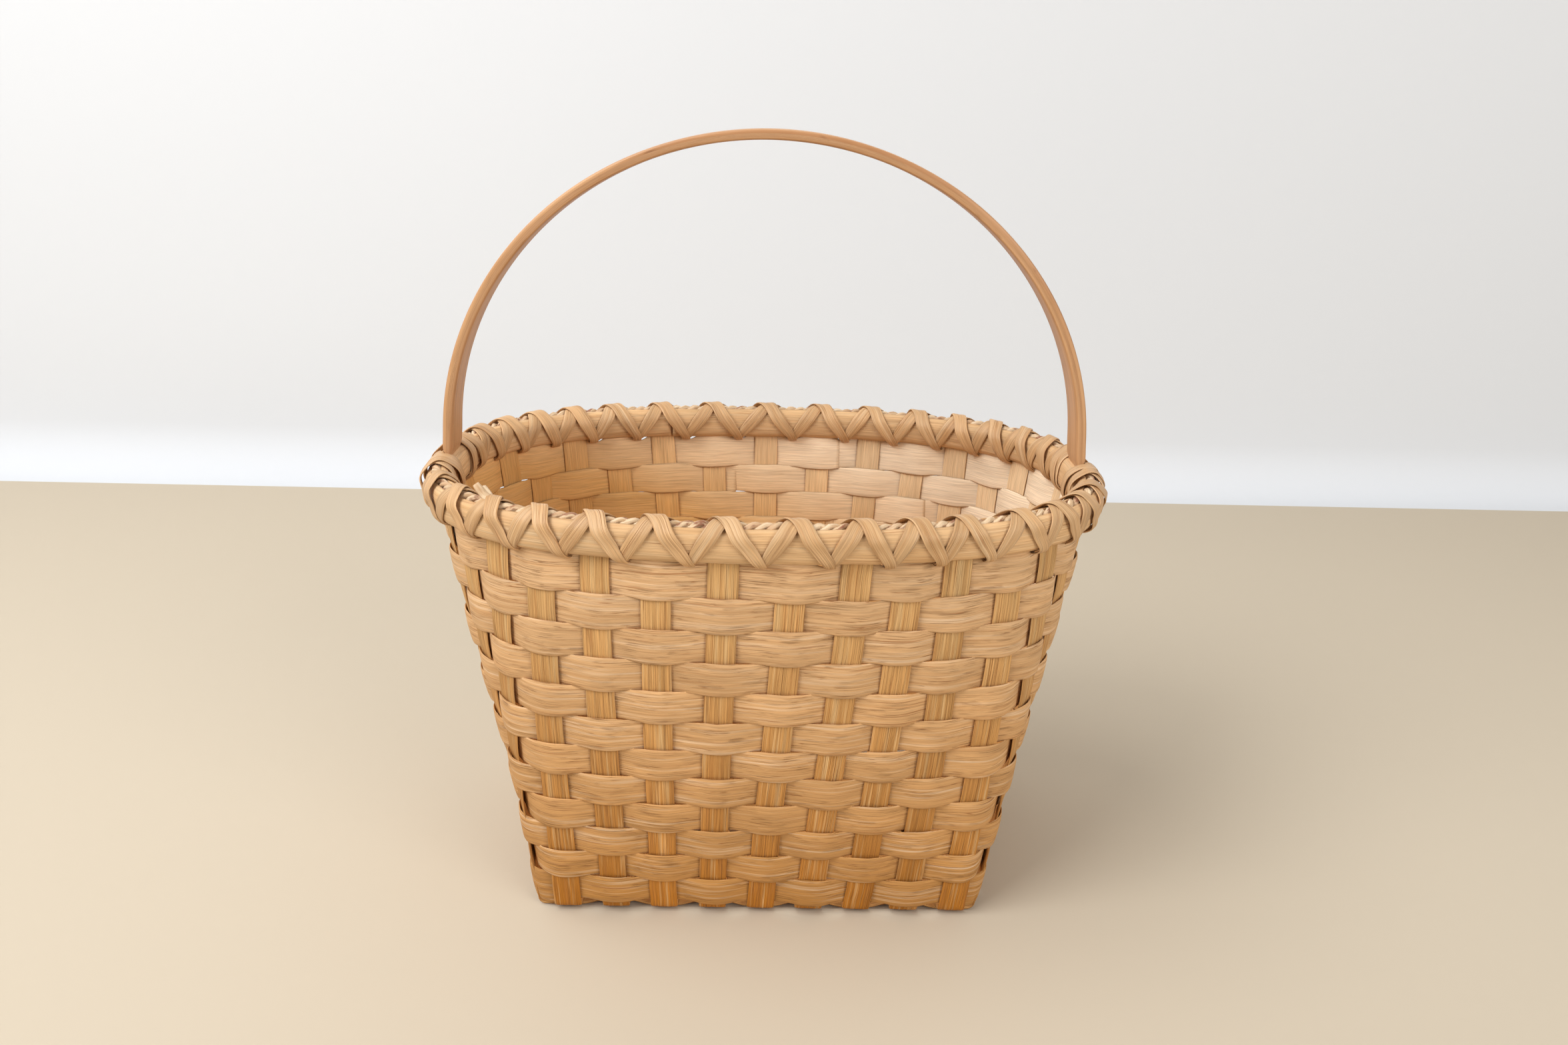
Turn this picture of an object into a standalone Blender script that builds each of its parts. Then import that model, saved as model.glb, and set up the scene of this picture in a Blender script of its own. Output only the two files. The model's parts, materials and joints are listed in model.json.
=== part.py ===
"""Gathering basket: woven flat reed with an oval rim, cross lashing and a fixed bent handle.

Metres, +Z up, +X along the basket, the front towards -Y. The origin is on the ground
under the middle of the base.

Every reed is its own solid. The base reeds turn up at the edge of the base and become
the stakes of the wall, and thirteen weavers go round them, over one and under the next.
"""
import bisect
import math

import bmesh
import bpy
from mathutils import Vector

# Wall outline, measured to the middle of the wall
base_length = 0.209
base_width = 0.144
rim_length = 0.304
rim_width = 0.195
rim_roundness = 2.5
rim_height = 0.206
# The wall swells outward by this at half its height
wall_swell = 0.0050

# Stakes: the reeds that cross in the base and turn up into the wall
cross_stakes = 9
long_stakes = 9
stake_width = 0.0127
stake_thickness = 0.0011
stake_bend = 0.0024
bend_sections = 1
# Each stake's share of the way round the rim is drawn towards the corner by these
corner_crowding = 0.075
end_easing = 0.015
# At the rim the stakes lean this far along it, to the front on the left end, from the handle on,
# and to the right on the front, from left to right
left_lean = (0.0033, 0.0066, 0.0100, 0.0133)
front_lean = (0.0143, 0.0153, 0.0149, 0.0145, 0.0131, 0.0094, 0.0030, -0.0028, -0.0006)
# The outermost stakes stand this far inside the base's ends and sides
corner_inset_left = 0.0145
corner_inset_right = 0.0117
corner_inset_side = 0.0104
# The lower half of a stake takes this much more of its turn than the upper half
twist_lead = 0.4
# A stake has at least so many sections up the wall, no coarser than this turn of its face
wall_sections = 6
twist_per_section = math.radians(5.5)

# Weavers: the rows are numbered from the rim row, 0, down to the base
weaver_rows = 12
weaver_width = 0.0148
weaver_thickness = 0.0010
rim_row_width = 0.0118
lowest_weaver_edge = 0.0075
# The ends of a weaver are thinned and lie over each other across this many stakes
lap_stakes = 2
lap_shift_stakes = 2

# Rim: two half-round reeds with a seagrass cord laid between them
rim_reed_height = 0.0155
rim_reed_thickness = 0.0040
# Shares of a rim reed's thickness: at its edges, and a fifth of its height in from them
rim_edge_share = 0.28
rim_shoulder_share = 0.66
stake_top_below_rim = 0.0036
cord_diameter = 0.0035
cord_centre_below_rim = 0.0014
# In places round the rim, one stake to the next: half of a reed's flat at a stake, the distance
# from the handle at which the cord ends, and that within which the inner reed makes room for it
flat_half = 0.25
cord_end_from_handle = 0.27
handle_room = 0.76

# Lashing: two thin reeds wound round the rim in opposite directions
lash_width = 0.0056
lash_width_in_wall = 0.0032
lash_thickness = 0.0007
lash_slack = 0.0009
# Where a strand turns beside the handle's leg, as a share of its distance out at mid-height
lash_turn_share = 0.85
# The strand's last ring is drawn back to the one before by this share
strand_cut = 0.3

# Handle: one bent strip, thinned at both ends and tucked between wall and rim
handle_width = 0.0195
handle_thickness = 0.0050
handle_rise = 0.1420
handle_spring_above_rim = 0.005
leg_set_in = 0.0016
tail_width = 0.011
tail_thickness = 0.0022
tail_length = 0.086
tail_sections = 3
# The tail flares to the handle's width from this share of the rim reed's height
tail_flare_share = 0.8
handle_corner = 0.0010
handle_corner_share = 0.3
arch_sections = 26

# Clearances
clearance = 0.0003
edge_margin = 0.0003

# What follows from the sizes above
stake_places = 2 * (cross_stakes + long_stakes)
cross_stake_pitch = (base_length - corner_inset_left - corner_inset_right) / (cross_stakes - 1)
cross_stake_shift = (corner_inset_left - corner_inset_right) / 2
long_stake_pitch = (base_width - 2 * corner_inset_side) / (long_stakes - 1)
quarter_steps = (cross_stakes + long_stakes) / 2
crossing_half = stake_width / 2 + edge_margin
weaver_out = (stake_thickness + weaver_thickness) / 2 + clearance
base_level = stake_thickness + clearance
base_middle = stake_thickness / 2 + base_level
rim_face_out = weaver_out + weaver_thickness / 2 + clearance
tail_out = -(stake_thickness + tail_thickness) / 2 - clearance
rim_face_at_handle = -tail_out + tail_thickness / 2 + clearance
lash_step = lash_thickness + clearance
first_row_below_rim = rim_reed_height + 2 * lash_step + clearance
handle_place_x_plus = (long_stakes - 1) // 2
handle_place_x_minus = long_stakes + cross_stakes + (long_stakes - 1) // 2
handle_places = (handle_place_x_plus, handle_place_x_minus)

for old in list(bpy.data.objects):
    bpy.data.objects.remove(old, do_unlink=True)

basket = bpy.data.collections.new("gathering_basket")
bpy.context.scene.collection.children.link(basket)


def principled(name, colour, roughness):
    """A material with one colour, as the photograph shows that reed in plain light."""
    material = bpy.data.materials.new(name)
    material.use_nodes = True
    shader = material.node_tree.nodes["Principled BSDF"]
    shader.inputs["Base Color"].default_value = (*colour, 1.0)
    shader.inputs["Roughness"].default_value = roughness
    shader.inputs["Metallic"].default_value = 0.0
    return material


stake_reed = principled("stake_reed", (0.56, 0.34, 0.15), 0.62)
weaver_reed = principled("weaver_reed", (0.62, 0.39, 0.19), 0.60)
rim_reed = principled("rim_reed", (0.66, 0.43, 0.22), 0.55)
lash_reed = principled("lash_reed", (0.70, 0.49, 0.27), 0.48)
seagrass = principled("seagrass", (0.62, 0.52, 0.36), 0.75)
handle_wood = principled("handle_wood", (0.40, 0.22, 0.11), 0.50)


# Outlines

def rim_table(steps=400):
    """Points of a quarter of the rim outline and their distance along it, from +X to +Y."""
    points = []
    lengths = [0.0]
    for step in range(steps + 1):
        angle = math.pi / 2 * step / steps
        across = math.cos(angle) ** (2 / rim_roundness) if step < steps else 0.0
        along = math.sin(angle) ** (2 / rim_roundness)
        points.append(Vector((rim_length / 2 * across, rim_width / 2 * along, 0.0)))
        if step:
            lengths.append(lengths[-1] + (points[-1] - points[-2]).length)
    return points, lengths


rim_points, rim_lengths = rim_table()
quarter_length = rim_lengths[-1]


def rim_quarter(distance):
    """Point and outward normal of the rim at a distance from the +X end, in the +X +Y quarter."""
    distance = min(max(distance, 0.0), quarter_length)
    step = min(max(bisect.bisect_left(rim_lengths, distance), 1), len(rim_points) - 1)
    part = (distance - rim_lengths[step - 1]) / (rim_lengths[step] - rim_lengths[step - 1])
    point = rim_points[step - 1].lerp(rim_points[step], part)
    power = rim_roundness - 1
    normal = Vector((
        (max(point.x, 0.0) / (rim_length / 2)) ** power / rim_length,
        (max(point.y, 0.0) / (rim_width / 2)) ** power / rim_width,
        0.0,
    ))
    return point, normal.normalized()


def rim_at(distance):
    """Point and normal anywhere round the rim, counter-clockwise from the +X end."""
    distance = distance % (4 * quarter_length)
    quarter = int(distance // quarter_length)
    rest = distance - quarter * quarter_length
    if quarter % 2:
        point, normal = rim_quarter(quarter_length - rest)
    else:
        point, normal = rim_quarter(rest)
    mirror_x = -1.0 if quarter in (1, 2) else 1.0
    mirror_y = -1.0 if quarter in (2, 3) else 1.0
    sign = Vector((mirror_x, mirror_y, 1.0))
    return point * sign, normal * sign


# Places of the stakes round the wall, counter-clockwise from the front of the +X end

def lean(side, step):
    """How far a stake's top stands along the rim from its even place."""
    if side == "left" and 0 < step <= len(left_lean):
        return left_lean[round(step) - 1]
    if side == "front":
        return front_lean[round(step + (len(front_lean) - 1) / 2)]
    return 0.0


class Place:
    """One stake's line up the wall, from the edge of the base to the top of the rim."""

    def __init__(self, side, step):
        turn = {"right": 0, "back": 1, "left": 2, "front": 3}[side]
        share = turn + step / quarter_steps
        inside = abs(step) / quarter_steps
        if side in ("back", "front"):
            inside = 1.0 - inside
        drawn = corner_crowding * math.sin(math.pi * inside) - end_easing * math.sin(2 * math.pi * inside)
        if side in ("right", "left"):
            share -= math.copysign(drawn, step) if step else 0.0
        else:
            share += math.copysign(drawn, step) if step else 0.0
        self.top, self.top_normal = rim_at(share * quarter_length + lean(side, step))
        self.top.z = rim_height
        outward = {
            "right": Vector((1, 0, 0)),
            "back": Vector((0, 1, 0)),
            "left": Vector((-1, 0, 0)),
            "front": Vector((0, -1, 0)),
        }[side]
        sideways = Vector((0, 0, 1)).cross(outward)
        if side in ("right", "left"):
            self.foot = outward * (base_length / 2) + sideways * (step * long_stake_pitch)
        else:
            self.foot = outward * (base_width / 2) + sideways * (step * cross_stake_pitch)
            self.foot.x += cross_stake_shift
        self.foot.z = base_middle
        self.foot_normal = outward
        self.up = (self.top - self.foot).normalized()
        self.twist = self.foot_normal.angle(self.top_normal)

    def frame(self, z):
        """Centre, sideways and outward directions of the stake at a height."""
        part = (z - base_middle) / (rim_height - base_middle)
        turned = min(max(part, 0.0), 1.0)
        turned *= 1 + twist_lead * (1 - turned)
        facing = self.foot_normal.slerp(self.top_normal, turned) if self.twist > 1e-6 \
            else self.foot_normal.copy()
        centre = self.foot.lerp(self.top, part) + facing * (4 * wall_swell * part * (1 - part))
        up = (self.top - self.foot + facing * (4 * wall_swell * (1 - 2 * part))).normalized()
        sideways = Vector((0, 0, 1)).cross(facing)
        sideways = (sideways - up * sideways.dot(up)).normalized()
        return centre, sideways, sideways.cross(up).normalized()

    def point(self, z, along, out):
        """A point given by its height on the stake, and its distance sideways and outward."""
        centre, sideways, outward = self.frame(z)
        return centre + sideways * along + outward * out

    def heading(self, z):
        """The direction up the stake at a height."""
        _, sideways, outward = self.frame(z)
        return outward.cross(sideways)

    def height(self, below_rim):
        """The height of a point that lies this far below the rim, measured along the stake."""
        return rim_height - below_rim * self.up.z


def side_places(side, count):
    middle = (count - 1) / 2
    return [Place(side, step - middle) for step in range(count)]


places = (
    side_places("right", long_stakes)
    + side_places("back", cross_stakes)
    + side_places("left", long_stakes)
    + side_places("front", cross_stakes)
)


def place(index):
    return places[index % stake_places]


def edge_half(index):
    """Half the length of the flat that a rim reed keeps at a stake, longer at the handle."""
    if index % stake_places in handle_places:
        return handle_width / 2 + 2 * clearance
    return crossing_half


def rim_line(position, below_rim, out, half_at=edge_half):
    """A point on a line round the rim. A whole position is a stake, a half is mid-gap."""
    index = math.floor(position + 0.5)
    part = position - index
    here = place(index)
    z = here.height(below_rim)
    if abs(part) <= flat_half:
        return here.point(z, half_at(index) * part / flat_half, out)
    side = 1 if part > 0 else -1
    there = place(index + side)
    start = here.point(z, side * half_at(index), out)
    end = there.point(there.height(below_rim), -side * half_at(index + side), out)
    return start.lerp(end, (abs(part) - flat_half) / (1 - 2 * flat_half))


def rim_directions(position, below_rim, out):
    """Directions along the rim, outward and up at such a point. A stake's face is flat."""
    index = math.floor(position + 0.5)
    part = position - index
    stand = place(index)
    _, along, outward = stand.frame(stand.height(below_rim))
    if abs(part) > flat_half * 0.8:
        step = 0.02
        along = rim_line(position + step, below_rim, out) - rim_line(position - step, below_rim, out)
        along.normalize()
        outward = (outward - along * outward.dot(along)).normalized()
    return along, outward, outward.cross(along)


# Solids

def loft(name, rings, material, closed=False):
    """One closed solid through rings of points. Every ring has the same number of points."""
    mesh = bpy.data.meshes.new(name)
    body = bmesh.new()
    rows = [[body.verts.new(point) for point in ring] for ring in rings]
    count = len(rows[0])
    spans = len(rows) if closed else len(rows) - 1
    for span in range(spans):
        first = rows[span]
        second = rows[(span + 1) % len(rows)]
        for corner in range(count):
            after = (corner + 1) % count
            body.faces.new((first[corner], first[after], second[after], second[corner]))
    if not closed:
        body.faces.new(list(reversed(rows[0])))
        body.faces.new(rows[-1])
    bmesh.ops.recalc_face_normals(body, faces=body.faces)
    body.to_mesh(mesh)
    body.free()
    solid = bpy.data.objects.new(name, mesh)
    solid.data.materials.append(material)
    basket.objects.link(solid)
    return solid


def flat_ring(centre, sideways, outward, half_width, half_thickness):
    """The four corners of a flat reed at one place along it."""
    return [
        centre - sideways * half_width - outward * half_thickness,
        centre + sideways * half_width - outward * half_thickness,
        centre + sideways * half_width + outward * half_thickness,
        centre - sideways * half_width + outward * half_thickness,
    ]


# Stakes

def wall_rings(stand, start_height):
    """Rings of a stake up the wall, from just above its bend to its cut top."""
    top_height = stand.height(stake_top_below_rim)
    fastest = stand.twist * (1 + twist_lead)
    sections = max(wall_sections, 2 + math.ceil(fastest / twist_per_section))
    rings = []
    for section in range(sections + 1):
        z = start_height + (top_height - start_height) * section / sections
        centre, sideways, outward = stand.frame(z)
        rings.append(flat_ring(centre, sideways, outward, stake_width / 2, stake_thickness / 2))
    return rings


def bend_rings(stand, level):
    """Rings of the bend from the base into the wall, base side first."""
    corner = stand.point(level, 0.0, 0.0)
    start = corner - stand.foot_normal * stake_bend
    end = stand.point(level + stake_bend * stand.up.z, 0.0, 0.0)
    flat = Vector((0, 0, 1)).cross(stand.foot_normal)
    rings = [flat_ring(start, flat, Vector((0, 0, -1)), stake_width / 2, stake_thickness / 2)]
    wall_side = stand.frame(end.z)[1]
    for section in range(1, bend_sections + 1):
        part = section / (bend_sections + 1)
        centre = start.lerp(corner, part).lerp(corner.lerp(end, part), part)
        heading = (corner - start).lerp(end - corner, part).normalized()
        sideways = flat.lerp(wall_side, part).normalized()
        outward = sideways.cross(heading).normalized()
        rings.append(flat_ring(centre, sideways, outward, stake_width / 2, stake_thickness / 2))
    return rings, end.z


def base_ring(stand, x, y, level):
    """A ring of the level part of a stake that ends at this place, facing the ground."""
    flat = Vector((0, 0, 1)).cross(stand.foot_normal)
    return flat_ring(Vector((x, y, level)), flat, Vector((0, 0, -1)), stake_width / 2, stake_thickness / 2)


def mirrored(rings):
    """The same rings as seen by a reed that runs the other way along its length."""
    return [[ring[1], ring[0], ring[3], ring[2]] for ring in rings]


def stake(name, near, far, near_level, far_level, middle_rings):
    """A stake from the rim at one place, through the base, to the rim at the other."""
    near_bend, near_start = bend_rings(near, near_level)
    far_bend, far_start = bend_rings(far, far_level)
    down = list(reversed(wall_rings(near, near_start))) + list(reversed(near_bend))
    up = far_bend + wall_rings(far, far_start)
    loft(name, mirrored(down) + middle_rings + up, stake_reed)


def crossing_level(cross, long):
    """Height of a long stake where it crosses a cross stake: over one and under the next."""
    side = 1 if (cross + long) % 2 else -1
    return base_middle + side * base_level


for number in range(1, cross_stakes + 1):
    front = place(2 * long_stakes + cross_stakes + number - 1)
    back = place(long_stakes + cross_stakes - number)
    stake(f"cross_stake_{number}", front, back, base_middle, base_middle, [])

for number in range(1, long_stakes + 1):
    left = place(2 * long_stakes + cross_stakes - number)
    right = place(number - 1)
    middle = []
    for cross in range(1, cross_stakes + 1):
        x = (cross - (cross_stakes + 1) / 2) * cross_stake_pitch + cross_stake_shift
        level = crossing_level(cross, number)
        for side in (-1, 1):
            middle.append(base_ring(right, x + side * crossing_half, right.foot.y, level))
    stake(
        f"long_stake_{number}", left, right,
        crossing_level(1, number), crossing_level(cross_stakes, number), middle,
    )


# Weavers

def row_heights(stand, row):
    """Lower and upper edge of a weaver at a stake, as heights."""
    if row == 0:
        upper = stake_top_below_rim
        return stand.height(upper + rim_row_width), stand.height(upper)
    highest = rim_height - first_row_below_rim
    pitch = (highest - lowest_weaver_edge) / weaver_rows
    middle = highest - (row - 0.5) * pitch
    half = weaver_width / 2 * stand.up.z
    return middle - half, middle + half


def row_out(index, row):
    """How far a weaver's middle lies outside the stakes' middle at a stake."""
    if (index + row) % 2 == 0:
        return weaver_out
    tail_end = rim_height - tail_length
    beside_tail = index % stake_places in handle_places and row_heights(place(index), row)[1] > tail_end
    if beside_tail:
        return -(weaver_out + tail_thickness + clearance)
    return -weaver_out


def weaver_ring(index, row, side, inner, outer):
    """Four corners of a weaver at one edge of a stake, from its inner to its outer face."""
    stand = place(index)
    lower, upper = row_heights(stand, row)
    out = row_out(index, row)
    along = side * crossing_half
    return [
        stand.point(lower, along, out + inner),
        stand.point(lower, along, out + outer),
        stand.point(upper, along, out + outer),
        stand.point(upper, along, out + inner),
    ]


for row in range(weaver_rows + 1):
    half = weaver_thickness / 2
    lap_half = clearance / 2
    # The laps are spread along the back wall, which leaves the front unbroken
    start = long_stakes + 1 + (row * lap_shift_stakes) % (cross_stakes - lap_stakes - 1)
    rings = []
    for turn in range(stake_places + lap_stakes):
        if turn < lap_stakes:
            inner, outer = lap_half, half
        elif turn >= stake_places:
            inner, outer = -half, -lap_half
        else:
            inner, outer = -half, half
        for side in (-1, 1):
            rings.append(weaver_ring(start + turn, row, side, inner, outer))
    loft(f"weaver_{row:02d}", rings, weaver_reed)


# Rim reeds

def half_round(flat_out, side):
    """Outline of a half-round reed as (distance below the rim, distance out), flat face first."""
    height = rim_reed_height
    edge = rim_edge_share
    shoulder = rim_shoulder_share
    bulge = [(0.0, 0.0), (0.02, edge), (0.2, shoulder), (0.5, 1.0), (0.8, shoulder), (0.98, edge), (1.0, 0.0)]
    return [(height * down, side * (flat_out + rim_reed_thickness * thick)) for down, thick in bulge]


def rim_reed_ring(name, side):
    rings = []
    for index in range(stake_places):
        at_handle = index in handle_places and side < 0
        outline = half_round(rim_face_at_handle if at_handle else rim_face_out, side)
        for edge in (-flat_half, flat_half):
            rings.append([rim_line(index + edge, below, out) for below, out in outline])
    return loft(name, rings, rim_reed, closed=True)


rim_reed_ring("rim_outer", 1)
rim_reed_ring("rim_inner", -1)


# Seagrass cord between the rim reeds, one length on each side of the handle

def rim_cord(name, start, end):
    steps = 2 * round(end - start - 0.5) + 1
    first = start + cord_end_from_handle
    last = end - cord_end_from_handle
    curve = bpy.data.curves.new(name, "CURVE")
    curve.dimensions = "3D"
    curve.bevel_depth = cord_diameter / 2
    curve.bevel_resolution = 1
    curve.use_fill_caps = True
    spline = curve.splines.new("POLY")
    spline.points.add(steps)
    for step in range(steps + 1):
        position = first + (last - first) * step / steps
        spline.points[step].co = (*rim_line(position, cord_centre_below_rim, 0.0), 1.0)
    cord = bpy.data.objects.new(name, curve)
    cord.data.materials.append(seagrass)
    basket.objects.link(cord)


rim_cord("seagrass_back", handle_place_x_plus, handle_place_x_minus)
rim_cord("seagrass_front", handle_place_x_minus, handle_place_x_plus + stake_places)


# Lashing

def beside_handle(index, heading):
    """Rim position of a strand that passes the handle's leg at the top of the rim."""
    neighbour = place(index + heading)
    spacing = (neighbour.top - place(index).top).length
    reach = handle_width / 2 + 2 * clearance + lash_width / 2
    return index + heading - heading * flat_half * (spacing - reach) / crossing_half


def gap_half(index):
    """Half the length that a stake takes up in the wall, where the strands pass between."""
    return crossing_half


def inner_face(position):
    """How far inside the wall the inner rim reed lies, which is further beside the handle."""
    for index in handle_places:
        if abs((position - index + 1) % stake_places - 1) < handle_room:
            return rim_face_at_handle
    return rim_face_out


def lash_stations(index, heading, layer):
    """Where a strand lies in one turn over the rim: position, depth, distance out, facing, width."""
    lift = clearance + lash_thickness / 2 + layer * lash_step
    bottom = rim_reed_height + lift
    middle = rim_reed_height / 2
    cord_top = cord_diameter / 2 - cord_centre_below_rim
    edge = rim_reed_thickness * rim_edge_share + lift
    bulge = rim_reed_thickness + lift + lash_slack
    inner_slack = (layer + 1) * lash_slack
    start = index - heading * 0.5
    end = index + heading * 0.5
    at_handle = index % stake_places in handle_places
    top = beside_handle(index, heading) if at_handle else float(index)
    outer_middle = (start + top) / 2
    inner_middle = (top + end) / 2
    stations = [
        (start, bottom, rim_face_out + edge, (1, -1), lash_width_in_wall),
        (outer_middle, middle, rim_face_out + bulge, (1, 0), lash_width),
    ]
    if at_handle:
        turned = (outer_middle + top) / 2
        stations.append((turned, middle / 2, rim_face_out + bulge * lash_turn_share, (2, 1), lash_width))
    stations += [
        (top, -lift, rim_face_out + edge, (1, 1), lash_width),
        (top, -cord_top - lift, 0.0, (0, 1), lash_width),
        (top, -lift, -inner_face(top) - edge - layer * lash_slack, (-1, 1), lash_width),
        (inner_middle, middle, -inner_face(inner_middle) - bulge - inner_slack, (-1, 0), lash_width),
        (end, bottom, -inner_face(end) - edge, (-1, -1), lash_width_in_wall),
    ]
    return stations


def lash_strand(name, heading, layer):
    """A strand that winds once round the rim at each stake, up outside and down inside."""
    rings = []
    for turn in range(stake_places):
        for position, below, out, facing, width in lash_stations(heading * turn, heading, layer):
            half_at = gap_half if width == lash_width_in_wall else edge_half
            centre = rim_line(position, below, out, half_at)
            along, outward, up = rim_directions(position, below, out)
            thick = (outward * facing[0] + up * facing[1]).normalized()
            rings.append(flat_ring(centre, along, thick, width / 2, lash_thickness / 2))
    # The strand starts under the rim and is cut short of that, behind the inner rim reed
    rings[-1] = [corner.lerp(other, strand_cut) for corner, other in zip(rings[-1], rings[-2])]
    loft(name, rings, lash_reed)


lash_strand("lashing_right", 1, 0)
lash_strand("lashing_left", -1, 1)


# Handle

def handle_ring(centre, heading, width, thickness):
    """An octagonal ring of the handle, across Y and square to its heading in the XZ plane."""
    across = Vector((0, 1, 0))
    outward = heading.cross(across).normalized()
    corner = min(handle_corner, thickness * handle_corner_share)
    half_width = width / 2
    half_thickness = thickness / 2
    outline = [
        (half_width - corner, half_thickness), (half_width, half_thickness - corner),
        (half_width, corner - half_thickness), (half_width - corner, -half_thickness),
        (corner - half_width, -half_thickness), (-half_width, corner - half_thickness),
        (-half_width, half_thickness - corner), (corner - half_width, half_thickness),
    ]
    return [centre + across * y + outward * out for y, out in outline]


def tail_rings(stand):
    """Rings of the thinned end inside the wall, lowest first, up to the spring of the arch."""
    flare_start = stand.height(rim_reed_height * tail_flare_share)
    lowest = rim_height - tail_length
    places_up = [(lowest + (flare_start - lowest) * step / tail_sections, tail_width)
                 for step in range(tail_sections + 1)]
    places_up.append((rim_height, handle_width - 2 * clearance))
    return [
        handle_ring(stand.point(z, 0.0, tail_out), stand.heading(z), width, tail_thickness)
        for z, width in places_up
    ]


def arch_ring(angle):
    """A ring of the half oval above the rim. Its legs stand a little inside the tails."""
    half_length = places[handle_place_x_plus].top.x + tail_out - leg_set_in
    spring = rim_height + handle_spring_above_rim
    centre = Vector((half_length * math.cos(angle), 0.0, spring + handle_rise * math.sin(angle)))
    heading = Vector((-half_length * math.sin(angle), 0.0, handle_rise * math.cos(angle))).normalized()
    return handle_ring(centre, heading, handle_width, handle_thickness)


right_leg = tail_rings(place(handle_place_x_plus))
left_leg = [
    [Vector((-corner.x, corner.y, corner.z)) for corner in ring]
    for ring in right_leg
]
arch = [arch_ring(math.pi * step / arch_sections) for step in range(arch_sections + 1)]
handle = loft("handle", right_leg + arch + list(reversed(left_leg)), handle_wood)
handle.data.shade_smooth()
handle.data.set_sharp_from_angle(angle=math.radians(40))
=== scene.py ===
"""Gathering basket: looks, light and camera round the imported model.

Metres, +Z up, +X along the basket, the front towards -Y, as in the frame. Every reed of the
frame is replaced by a finer one that lies in the same place. The stakes' lines are read from
the frame, and the weavers, rim reeds, cords and lashing follow them.

A place round the wall is counted in stands, the places where a stake goes up the wall: 0 is
the first of the +X end, 1 the next one counter-clockwise, and 0.5 lies halfway between them.
"""
import json
import math

import bpy
import numpy as np
from mathutils import Matrix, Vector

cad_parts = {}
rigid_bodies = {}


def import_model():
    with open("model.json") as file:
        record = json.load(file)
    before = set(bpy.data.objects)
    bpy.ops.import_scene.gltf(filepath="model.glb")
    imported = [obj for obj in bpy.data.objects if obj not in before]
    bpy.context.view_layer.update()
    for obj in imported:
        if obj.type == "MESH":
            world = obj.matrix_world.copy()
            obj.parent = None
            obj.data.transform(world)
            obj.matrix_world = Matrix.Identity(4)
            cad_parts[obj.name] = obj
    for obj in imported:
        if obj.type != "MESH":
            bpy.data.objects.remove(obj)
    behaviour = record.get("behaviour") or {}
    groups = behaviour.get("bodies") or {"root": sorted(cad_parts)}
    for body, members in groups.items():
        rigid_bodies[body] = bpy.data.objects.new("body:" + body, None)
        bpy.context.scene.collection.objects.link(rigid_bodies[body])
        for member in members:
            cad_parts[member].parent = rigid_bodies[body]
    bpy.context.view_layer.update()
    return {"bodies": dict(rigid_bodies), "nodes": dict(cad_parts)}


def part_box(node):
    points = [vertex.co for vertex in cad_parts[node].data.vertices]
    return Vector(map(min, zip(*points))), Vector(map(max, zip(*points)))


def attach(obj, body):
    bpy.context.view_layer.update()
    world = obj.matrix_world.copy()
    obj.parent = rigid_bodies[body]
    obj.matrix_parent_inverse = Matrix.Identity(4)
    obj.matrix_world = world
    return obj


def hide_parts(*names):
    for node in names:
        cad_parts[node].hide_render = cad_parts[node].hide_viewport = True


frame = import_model()
nodes = frame["nodes"]
body = next(iter(frame["bodies"]))

# Counts, as in the frame
cross_stakes = 9
long_stakes = 9
weaver_rows = 12
stand_count = 2 * (cross_stakes + long_stakes)
first_back_stand = long_stakes
first_left_stand = first_back_stand + cross_stakes
first_front_stand = first_left_stand + long_stakes
handle_stands = ((long_stakes - 1) // 2, first_left_stand + (long_stakes - 1) // 2)

# Wall, as in the frame
rim_height = 0.206
base_middle = 0.00195
wall_swell = 0.0050
twist_lead = 0.4
clearance = 0.0003
same_corner = 0.0003

# Stakes. Near the rim and the base they neither give nor sway
stake_width = 0.0127
stake_thickness = 0.0011
stake_ridge = 0.00005
stake_top_below_rim = 0.0036
stake_give = 0.00025
stake_sway = 0.00025
still_below_rim = 0.012
still_above_base = 0.006
still_fade = 0.010
bend_above_base = 0.0044
bend_reach = 0.0040
bend_first_share = 0.12

# Where a reed goes from one crossing to the next, it leaves each within this share of the way
longest_contact = 0.42

# Base
base_zone = 0.03
base_weave = 0.00128
base_crown = 0.00005
base_let_go = 0.0004
cross_flat_inset = 0.006
long_flat_inset = 0.0045

# Weavers. The flat and narrow places, overhang, notch, corner and laps are counted in stands,
# and lap_thinning and lap_apart in thicknesses of the reed
weaver_share_of_pitch = 1.03
weaver_swell = 0.0012
weaver_flat = 0.19
weaver_narrow = 0.45
weaver_thickness = 0.0010
weaver_ridge = 0.00003
weaver_edge_out = 0.00120
weaver_crown = 0.00050
weaver_bow = 0.00025
weaver_let_go = 0.0006
weaver_overhang = 0.42
row_wander = 0.0004
rim_row_width = 0.0116
first_row_tuck = 0.0019
first_row_notch = 0.18
last_row_droop = 0.0042
last_row_corner = 0.8
lap_stands = 2
lap_cut_short = 0.2
lap_thinning = 0.5
lap_thinning_curve = 0.3
lap_apart = 0.32

# Rim. The reach beside the handle and the gap at the reeds' ends are counted in stands
rim_reed_height = 0.0155
rim_reed_thickness = 0.0040
rim_face_out = 0.00215
rim_face_at_handle = 0.0034
handle_reach = 1.3
handle_hold = 1.6
outer_reed_below_rim = 0.0006
rim_end_gap = 0.02
rim_fibre_shift = 0.03
rim_squareness = 2.8
rim_roundness = 0.55

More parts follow.
